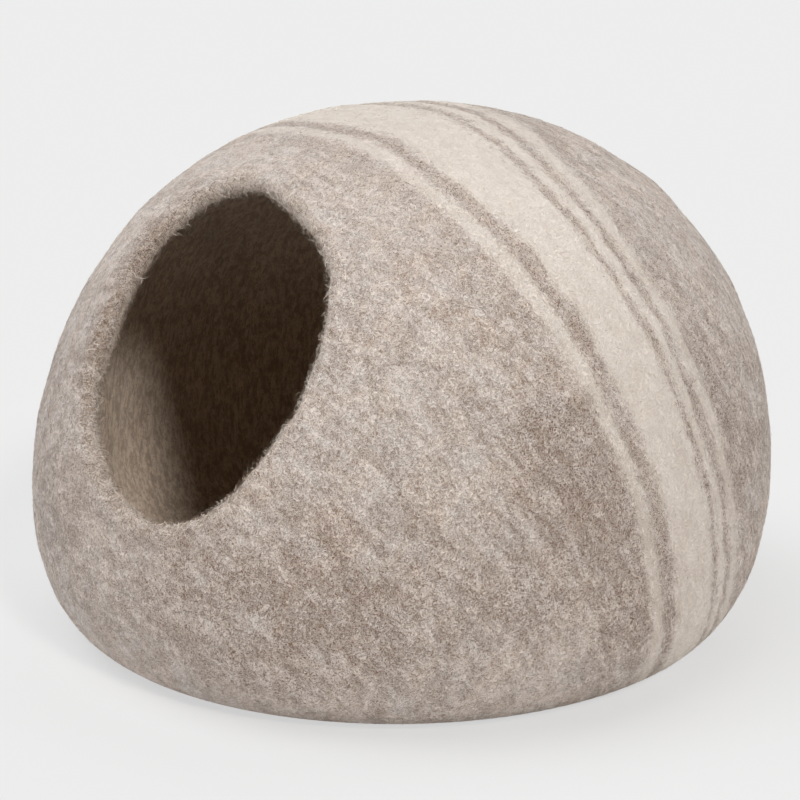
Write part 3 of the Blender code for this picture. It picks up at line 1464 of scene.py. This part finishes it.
@dataclass(frozen=True)
class FeltGroups:
    """The effects that the felt's materials share, each a node group built once."""

    fibres: Tree
    heather: Tree
    bands: Tree

    @classmethod
    def make(cls, bands: Bands) -> FeltGroups:
        """Build the groups."""
        return cls(cls.make_fibres(), cls.make_heather(), cls.make_bands(bands))

    @staticmethod
    def make_fibres() -> Tree:
        """Matted fibres: thin lines where a bent noise passes its middle value, in three layers.

        The lines give the strands. Their height is the strands plus a finer grain.

        Returns:
            The group.
        """
        pad = GroupPad(
            "matted fibres",
            {"Vector": "Vector", "Scale": "Float", "Swirl": "Float", "Thinness": "Float"},
            {"Strands": "Float", "Height": "Float"},
        )
        place, scale = pad.given["Vector"], pad.given["Scale"]
        layers = []
        for offset in ((0.0, 0.0, 0.0), (3.7, 1.3, 5.9), (8.1, 4.4, 2.6)):
            vector = pad.moved(place, offset)
            noise = pad.noise(vector, scale, detail=1.0, rough=0.4, bend=pad.given["Swirl"])
            off_middle = pad.maths("ABSOLUTE", pad.minus(noise, 0.5))
            wide = pad.times(off_middle, pad.given["Thinness"])
            layers.append(pad.maths("SUBTRACT", 1.0, wide, clamp=True))
        strands = pad.maths("MAXIMUM", pad.maths("MAXIMUM", layers[0], layers[1]), layers[2])
        grain = pad.noise(place, pad.times(scale, 3.0), detail=3.0, rough=0.6, bend=0.4)
        height = pad.plus(pad.times(strands, 0.6), pad.times(grain, 0.5))
        return pad.put_out(Strands=strands, Height=height)

    @staticmethod
    def make_heather() -> Tree:
        """Heathered wool: a tone summed from clumps, a finer mottle and broad clouds.

        Flecks and pale spots are the two ends of one fine noise. Warmth and clouding each
        have a noise of their own. All scales but the clouds' are shares of the clumps' own.

        Returns:
            The group.
        """
        pad = GroupPad(
            "heathered wool",
            {"Vector": "Vector", "Combed": "Vector", "Clumps": "Float", "Clouds": "Float"},
            {name: "Float" for name in ("Tone", "Flecks", "Pale", "Warmth", "Clouding")},
        )
        place, combed, scale = (pad.given[name] for name in ("Vector", "Combed", "Clumps"))
        clumps = pad.noise(combed, scale, detail=2.0, rough=0.7, bend=0.3)
        mottle = pad.noise(place, pad.times(scale, 2.4), detail=6.0, rough=0.82, bend=0.4)
        clouds = pad.noise(combed, pad.given["Clouds"], detail=2.0, rough=0.5, bend=0.6)
        tone = pad.plus(pad.times(clumps, 0.55), pad.times(mottle, 0.45))
        tone = pad.plus(tone, pad.times(pad.minus(clouds, 0.5), 0.2))
        fleck_place = pad.moved(place, (2.9, 7.1, 0.7))
        specks = pad.noise(fleck_place, pad.times(scale, 4.0), detail=4.0, rough=0.8, bend=0.5)
        warm_place = pad.moved(fleck_place, (5.1, 0.4, 3.3))
        warmth = pad.noise(warm_place, pad.times(scale, 0.7), detail=5.0, rough=0.75, bend=0.4)
        clouding = pad.noise(combed, pad.times(scale, 0.55), detail=4.0, rough=0.65, bend=0.5)
        return pad.put_out(
            Tone=tone,
            Flecks=pad.between(specks, 0.50, 0.66),
            Pale=pad.between(specks, 0.48, 0.34),
            Warmth=pad.between(warmth, 0.35, 0.65),
            Clouding=pad.between(clouding, 0.66, 0.34),
        )

    @staticmethod
    def make_bands(bands: Bands) -> Tree:
        """Shares of cream and dark wool across the bands, with wisps where they meet.

        The place across the bands is shifted by two noises, broad wisps and a fine fray. A
        third noise makes the dark lines fade here and there.

        Args:
            bands: The bands, whose strips become two ramps.

        Returns:
            The group.
        """
        pad = GroupPad(
            "cream bands",
            {"Vector": "Vector", "Across": "Float", "Wisps": "Float", "Fray": "Float"},
            {"Cream": "Float", "Dark": "Float"},
        )
        place = pad.given["Vector"]
        wisps = pad.minus(pad.noise(place, 55.0, detail=3.0, rough=0.55, bend=0.5), 0.5)
        fray = pad.minus(pad.noise(place, 420.0, detail=4.0, rough=0.65, bend=0.8), 0.5)
        shifted = pad.line(wisps, pad.given["Wisps"], pad.given["Across"])
        shifted = pad.line(fray, pad.given["Fray"], shifted)
        first, last = bands.darks[0].stops()[0][0], bands.darks[-1].stops()[-1][0]
        share = pad.maths("DIVIDE", pad.minus(shifted, first), last - first)

        def shares(strips: tuple[Strip, ...]) -> Socket:
            """Return the strips' share, eased between their stops.

            Args:
                strips: The strips of one wool.

            Returns:
                A ramp's output.
            """
            stops = [stop for strip in strips for stop in strip.stops()]
            greys = [((at - first) / (last - first), (value,) * 3) for at, value in stops]
            return pad.ramp(share, greys, "EASE")

        uneven = pad.noise(place, 38.0, detail=3.0, rough=0.6, bend=0.4)
        depth = pad.line(pad.between(uneven, 0.32, 0.66), 0.55, 0.45)
        dark = pad.times(shares(bands.darks), depth)
        return pad.put_out(Cream=shares(bands.creams), Dark=dark)


# ---------------------------------------------------------------- finishes


@dataclass(frozen=True)
class FeltFinish:
    """Finish of the wall: heathered ground, cream bands, a browner inside.

    A pair named as a line is a slope and an offset. A pair named as a window is a range that
    is moved smoothly into 0 to 1.
    """

    groups: FeltGroups
    dark: Colour = (0.290, 0.190, 0.128)
    mid: Colour = (0.642, 0.500, 0.414)
    light: Colour = (0.870, 0.740, 0.645)
    cool_dark: Colour = (0.240, 0.178, 0.140)
    cool_mid: Colour = (0.555, 0.495, 0.466)
    cool_light: Colour = (0.810, 0.760, 0.735)
    fleck: Colour = (0.180, 0.112, 0.075)
    pale: Colour = (0.810, 0.735, 0.675)
    cream: Colour = (0.860, 0.785, 0.715)
    cream_shade: Colour = (0.760, 0.675, 0.600)
    cream_gap: Colour = (0.560, 0.465, 0.385)
    line: Colour = (0.365, 0.245, 0.180)
    inside_dark: Colour = (0.620, 0.470, 0.350)
    inside_light: Colour = (0.985, 0.835, 0.680)
    roughness: float = 0.95
    specular: float = 0.15
    sheen: float = 0.30
    sheen_roughness: float = 0.40
    bump_strength: float = 0.8
    bump_distance: float = 0.0008
    fibre_scale: float = 420.0
    fibre_swirl: float = 1.6
    fibre_thinness: float = 13.0
    clump_scale: float = 60.0
    cloud_scale: float = 13.0
    clump_stretch: float = 3.0
    grain_bearing: float = math.radians(76)
    grain_rise: float = math.radians(32)
    wisps_mm: float = 10.0
    fray_mm: float = 12.0
    # The patch fields work on the patches of darker wool and painted shade.
    patch_line: tuple[float, float] = (1.25, 0.25)
    patch_most: float = 0.85
    tone_window: tuple[float, float] = (0.38, 0.61)
    tone_places: tuple[float, float, float] = (0.10, 0.5, 0.86)
    tone_middle: float = 0.52
    contrast_line: tuple[float, float] = (0.9, 0.62)
    patch_tone: float = 0.20
    fleck_line: tuple[float, float] = (0.65, 0.35)
    pale_share: float = 0.25
    line_share: float = 0.6
    patch_share: float = 0.62
    gap_line: tuple[float, float] = (0.75, 0.56)
    strand_line: tuple[float, float] = (-0.18, 0.58)
    cream_window: tuple[float, float] = (0.60, 0.38)
    cream_shade_share: float = 0.75
    cream_gap_share: float = 0.34
    cream_painted_shade_share: float = 0.35
    streak_scale: float = 260.0
    streak_squeeze: float = 0.36
    streak_window: tuple[float, float] = (0.42, 0.58)
    inside_gap_share: float = 0.30
    inside_window: tuple[float, float] = (0.55, 0.95)

    def material(self, bands: Bands) -> bpy.types.Material:
        """Return the wall's material.

        Args:
            bands: The bands, whose axis their wisps run round.

        Returns:
            The material.
        """
        material, pad = blank_material("heathered felt")
        place = pad.add("ShaderNodeTexCoord").outputs["Object"]
        fibres = pad.use(
            self.groups.fibres,
            Vector=place,
            Scale=self.fibre_scale,
            Swirl=self.fibre_swirl,
            Thinness=self.fibre_thinness,
        )
        heather = pad.use(
            self.groups.heather,
            Vector=place,
            Combed=self.combed(pad, place, self.grain_bearing, self.grain_rise),
            Clumps=self.clump_scale,
            Clouds=self.cloud_scale,
        )
        rings = pad.use(
            self.groups.bands,
            Vector=self.combed(pad, place, bands.bearing, bands.rise),
            Across=pad.attribute("across_mm"),
            Wisps=self.wisps_mm,
            Fray=self.fray_mm,
        )
        # The patches' mask: darker wool, and painted shade on the lower right side and the rim's
        # top-left face.
        patches = pad.line(heather["Clouding"], *self.patch_line)
        patches = pad.times(pad.attribute("dark_and_shade_share"), patches)
        patches = pad.maths("MINIMUM", patches, self.patch_most)
        gaps = pad.minus(1.0, fibres["Strands"])
        ground = self.heathered(pad, heather, patches)
        ground = self.matted(pad, ground, rings["Dark"], patches, fibres["Strands"], gaps)
        cream = self.cream_wool(pad, heather["Tone"], patches, gaps)
        outside = pad.blend(rings["Cream"], ground, cream)
        inner_share = pad.between(pad.attribute("inside"), *self.inside_window)
        colour = pad.blend(inner_share, outside, self.inside_wool(pad, place, gaps))

        bump = pad.add("ShaderNodeBump")
        values = {"Strength": self.bump_strength, "Distance": self.bump_distance}
        pad.feed_all(bump.inputs, {**values, "Height": fibres["Height"]})
        pad.shade(
            Base_Color=colour,
            Normal=bump.outputs[0],
            Roughness=self.roughness,
            Specular_IOR_Level=self.specular,
            Sheen_Weight=self.sheen,
            Sheen_Roughness=self.sheen_roughness,
        )
        return material

    def heathered(self, pad: NodePad, heather: bpy.types.NodeOutputs, patches: Socket) -> Socket:
        """Return the ground's wool: warm and cool tones, dark flecks and pale spots.

        Args:
            pad: Pad of the material.
            heather: Outputs of the heathered wool.
            patches: Share of the dark patches, darker wool and painted shade, where the tone is
                deeper and more uneven.

        Returns:
            The colour.
        """
        tone = pad.minus(pad.between(heather["Tone"], *self.tone_window), 0.5)
        tone = pad.line(tone, pad.line(patches, *self.contrast_line), self.tone_middle)
        tone = pad.minus(tone, pad.times(patches, self.patch_tone))
        warm = pad.ramp(tone, list(zip(self.tone_places, (self.dark, self.mid, self.light))))
        cools = (self.cool_dark, self.cool_mid, self.cool_light)
        cool = pad.ramp(tone, list(zip(self.tone_places, cools)))
        flecks = pad.times(heather["Flecks"], pad.line(patches, *self.fleck_line))
        wool = pad.blend(flecks, pad.blend(heather["Warmth"], cool, warm), self.fleck)
        return pad.blend(pad.times(heather["Pale"], self.pale_share), wool, self.pale)

    def matted(
        self,
        pad: NodePad,
        wool: Socket,
        lines: Socket,
        patches: Socket,
        strands: Socket,
        gaps: Socket,
    ) -> Socket:
        """Return the ground under dark lines and the patches of darker wool and painted shade,
        with fibres matted over it.

        Args:
            pad: Pad of the material.
            wool: Colour of the plain ground.
            lines: Share of the dark lines between the bands.
            patches: Share of the dark patches, darker wool and painted shade.
            strands: Where pale fibres lie.
            gaps: Where the ground shows between them.

        Returns:
            The colour.
        """
        patched = pad.times(patches, self.patch_share)
        dark = pad.maths("MAXIMUM", pad.times(lines, self.line_share), patched)
        most = pad.maths("MAXIMUM", patches, dark)
        gap_share = pad.maths("MULTIPLY", gaps, pad.line(most, *self.gap_line), clamp=True)
        wool = pad.blend(gap_share, pad.blend(dark, wool, self.line), self.fleck)
        return pad.blend(pad.times(strands, pad.line(most, *self.strand_line)), wool, self.pale)

    def cream_wool(self, pad: NodePad, tone: Socket, patches: Socket, gaps: Socket) -> Socket:
        """Return the bands' cream wool, darker by tone and in the gaps, with painted shade in the
        patches.

        Args:
            pad: Pad of the material.
            tone: Tone of the heathered wool.
            patches: Share of the dark patches, which paint shade on the cream.
            gaps: Gaps between the matted fibres.

        Returns:
            The colour.
        """
        shade = pad.times(pad.between(tone, *self.cream_window), self.cream_shade_share)
        cream = pad.blend(shade, self.cream, self.cream_shade)
        cream = pad.blend(pad.times(gaps, self.cream_gap_share), cream, self.cream_gap)
        # Painted shade: the cream darkens towards the line colour in the patches, most on the
        # lower right side.
        patched = pad.maths("MULTIPLY", patches, self.cream_painted_shade_share, clamp=True)
        return pad.blend(patched, cream, self.line)

    def inside_wool(self, pad: NodePad, place: Socket, gaps: Socket) -> Socket:
        """Return the inside's browner wool, in streaks that hang down the wall.

        Args:
            pad: Pad of the material.
            place: Place on the wall.
            gaps: Gaps between the matted fibres.

        Returns:
            The colour.
        """
        hanging = pad.stretched(place, Scale=(1.0, 1.0, self.streak_squeeze))
        streaks = pad.noise(hanging, self.streak_scale, detail=6.0, rough=0.85, bend=0.2)
        share = pad.between(streaks, *self.streak_window)
        wool = pad.blend(share, self.inside_dark, self.inside_light)
        return pad.blend(pad.times(gaps, self.inside_gap_share), wool, self.fleck)

    def combed(self, pad: NodePad, place: Socket, bearing: float, rise: float) -> Socket:
        """Return places squeezed along an axis, so that patterns run in rings round it.

        Args:
            pad: The material's pad.
            place: Places to squeeze.
            bearing: The axis's bearing from +X.
            rise: Its angle over the floor.

        Returns:
            The squeezed places.
        """
        return pad.stretched(
            place,
            vector_type="TEXTURE",
            Rotation=(0.0, math.pi / 2 - rise, bearing),
            Scale=(1.0, 1.0, 1 / self.clump_stretch),
        )


@dataclass(frozen=True)
class WoolFinish:
    """Finish of loose wool: a colour by each fibre's tone."""

    roughness: float = 0.9
    specular: float = 0.2
    sheen: float = 0.2

    def material(self) -> bpy.types.Material:
        """Return the fibres' material.

        Returns:
            The material.
        """
        material, pad = blank_material("loose wool")
        pad.shade(
            Base_Color=pad.ramp(pad.attribute("tone"), [wool.value for wool in Wool]),
            Roughness=self.roughness,
            Specular_IOR_Level=self.specular,
            Sheen_Weight=self.sheen,
        )
        return material


# ---------------------------------------------------------------- studio


@dataclass(frozen=True)
class Lamp:
    """A far, soft light: where it comes from, how wide it looks and how bright it is."""

    name: str
    bearing_deg: float
    rise_deg: float
    angle_deg: float
    strength: float
    colour: Colour

    def build(self) -> None:
        """Add the light to the scene."""
        data = bpy.data.lights.new(self.name, "SUN")
        data.energy = self.strength
        data.angle = math.radians(self.angle_deg)
        data.color = self.colour
        lamp = put_in(self.name, data)
        lamp.rotation_mode = "QUATERNION"
        out = away_from(self.bearing_deg, self.rise_deg)
        lamp.rotation_quaternion = out.to_track_quat("Z", "Y")


def away_from(bearing_deg: float, rise_deg: float) -> Vector:
    """Return the direction out from the cave, by its bearing from -Y towards +X and its rise.

    Args:
        bearing_deg: Bearing from -Y towards +X.
        rise_deg: Angle over the floor.

    Returns:
        A unit vector.
    """
    bearing, rise = math.radians(bearing_deg), math.radians(rise_deg)
    level = math.cos(rise)
    return Vector((math.sin(bearing) * level, -math.cos(bearing) * level, math.sin(rise)))


@dataclass(frozen=True)
class Studio:
    """Plain pale floor, soft lights and the camera."""

    form: CaveForm
    camera_bearing_deg: float = 38.0
    camera_rise_deg: float = 16.0
    camera_distance: float = 1.57
    lens_mm: float = 118.0
    sensor_mm: float = 36.0
    aim_right: float = 0.0025
    aim_up: float = -0.0095
    floor_size: float = 60.0
    floor_drop: float = 0.0003
    floor_colour: Colour = (0.80, 0.80, 0.80)
    floor_glow: float = 0.13
    seen_floor_colour: Colour = (0.20, 0.20, 0.20)
    seen_floor_glow: float = 0.59
    sky_colour: Colour = (0.85, 0.85, 0.85)
    lamps: tuple[Lamp, ...] = (
        Lamp("key", 61, 37, 9, 1.73, (1.0, 0.965, 0.92)),
        Lamp("high_left", -20, 70, 40, 1.62, (0.99, 0.995, 1.0)),
        Lamp("left", -60, 50, 40, 1.05, (0.94, 0.97, 1.0)),
        Lamp("behind", 180, 60, 40, 0.90, (0.99, 0.995, 1.0)),
    )

    def build(self) -> None:
        """Add the floor, the sky, the lights and the camera."""
        self.build_floor()
        self.build_sky()
        for lamp in self.lamps:
            lamp.build()
        self.build_camera()

    def build_floor(self) -> None:
        """Add a wide floor, whose own light keeps it even and pale to the camera.

        To all but the camera it is an ordinary pale floor, so the cave's underside stays in
        its own soft shade.
        """
        half = self.floor_size / 2
        corners = np.array([[-1, -1], [1, -1], [1, 1], [-1, 1]]) * half
        points = np.column_stack([corners, np.full(4, -self.floor_drop)])
        mesh = fill_mesh("floor", points, np.arange(4), np.array([4]))
        material, pad = blank_material("pale floor")
        seen = pad.add("ShaderNodeLightPath").outputs["Is Camera Ray"]
        pad.shade(
            Base_Color=pad.blend(seen, self.floor_colour, self.seen_floor_colour),
            Emission_Color=pad.blend(seen, (self.floor_glow,) * 3, (self.seen_floor_glow,) * 3),
            Emission_Strength=1.0,
            Roughness=1.0,
            Specular_IOR_Level=0.0,
        )
        mesh.materials.append(material)
        put_in("floor", mesh)

    def build_sky(self) -> None:
        """Add a pale sky that only the camera sees, for views from near the floor."""
        world = bpy.data.worlds.new("pale sky")
        world.use_nodes = True
        bpy.context.scene.world = world
        background = world.node_tree.nodes["Background"]
        background.inputs["Color"].default_value = (*self.sky_colour, 1.0)
        for rays in ("diffuse", "glossy", "transmission", "scatter"):
            setattr(world.cycles_visibility, rays, False)

    def build_camera(self) -> None:
        """Add the camera, aimed at the doorway's eye from the front right."""
        data = bpy.data.cameras.new("camera")
        data.sensor_width = self.sensor_mm
        data.lens = self.lens_mm
        camera = put_in("camera", data)
        back = away_from(self.camera_bearing_deg, self.camera_rise_deg)
        turn = back.to_track_quat("Z", "Y")
        right = turn @ Vector((1, 0, 0))
        up = turn @ Vector((0, 1, 0))
        aim = Vector(self.form.eye) + right * self.aim_right + up * self.aim_up
        camera.rotation_mode = "QUATERNION"
        camera.rotation_quaternion = turn
        camera.location = aim + back * self.camera_distance
        bpy.context.scene.camera = camera


def main() -> None:
    """Build the cave, its loose wool and the studio round it."""
    logging.basicConfig(level=logging.INFO, format="%(name)s %(message)s")
    bpy.context.scene.view_settings.view_transform = "Standard"
    form = CaveForm.from_frame()
    bands = Bands(form)
    groups = FeltGroups.make(bands)

    felt = FeltWall(form, bands)
    felt.dress(felt.build(), FeltFinish(groups))
    wool = WoolFinish().material()
    for coat in loose_wool():
        coat.dress(coat.build(felt.wall, bands, form), wool)
    Studio(form).build()


if __name__ == "__main__":
    main()
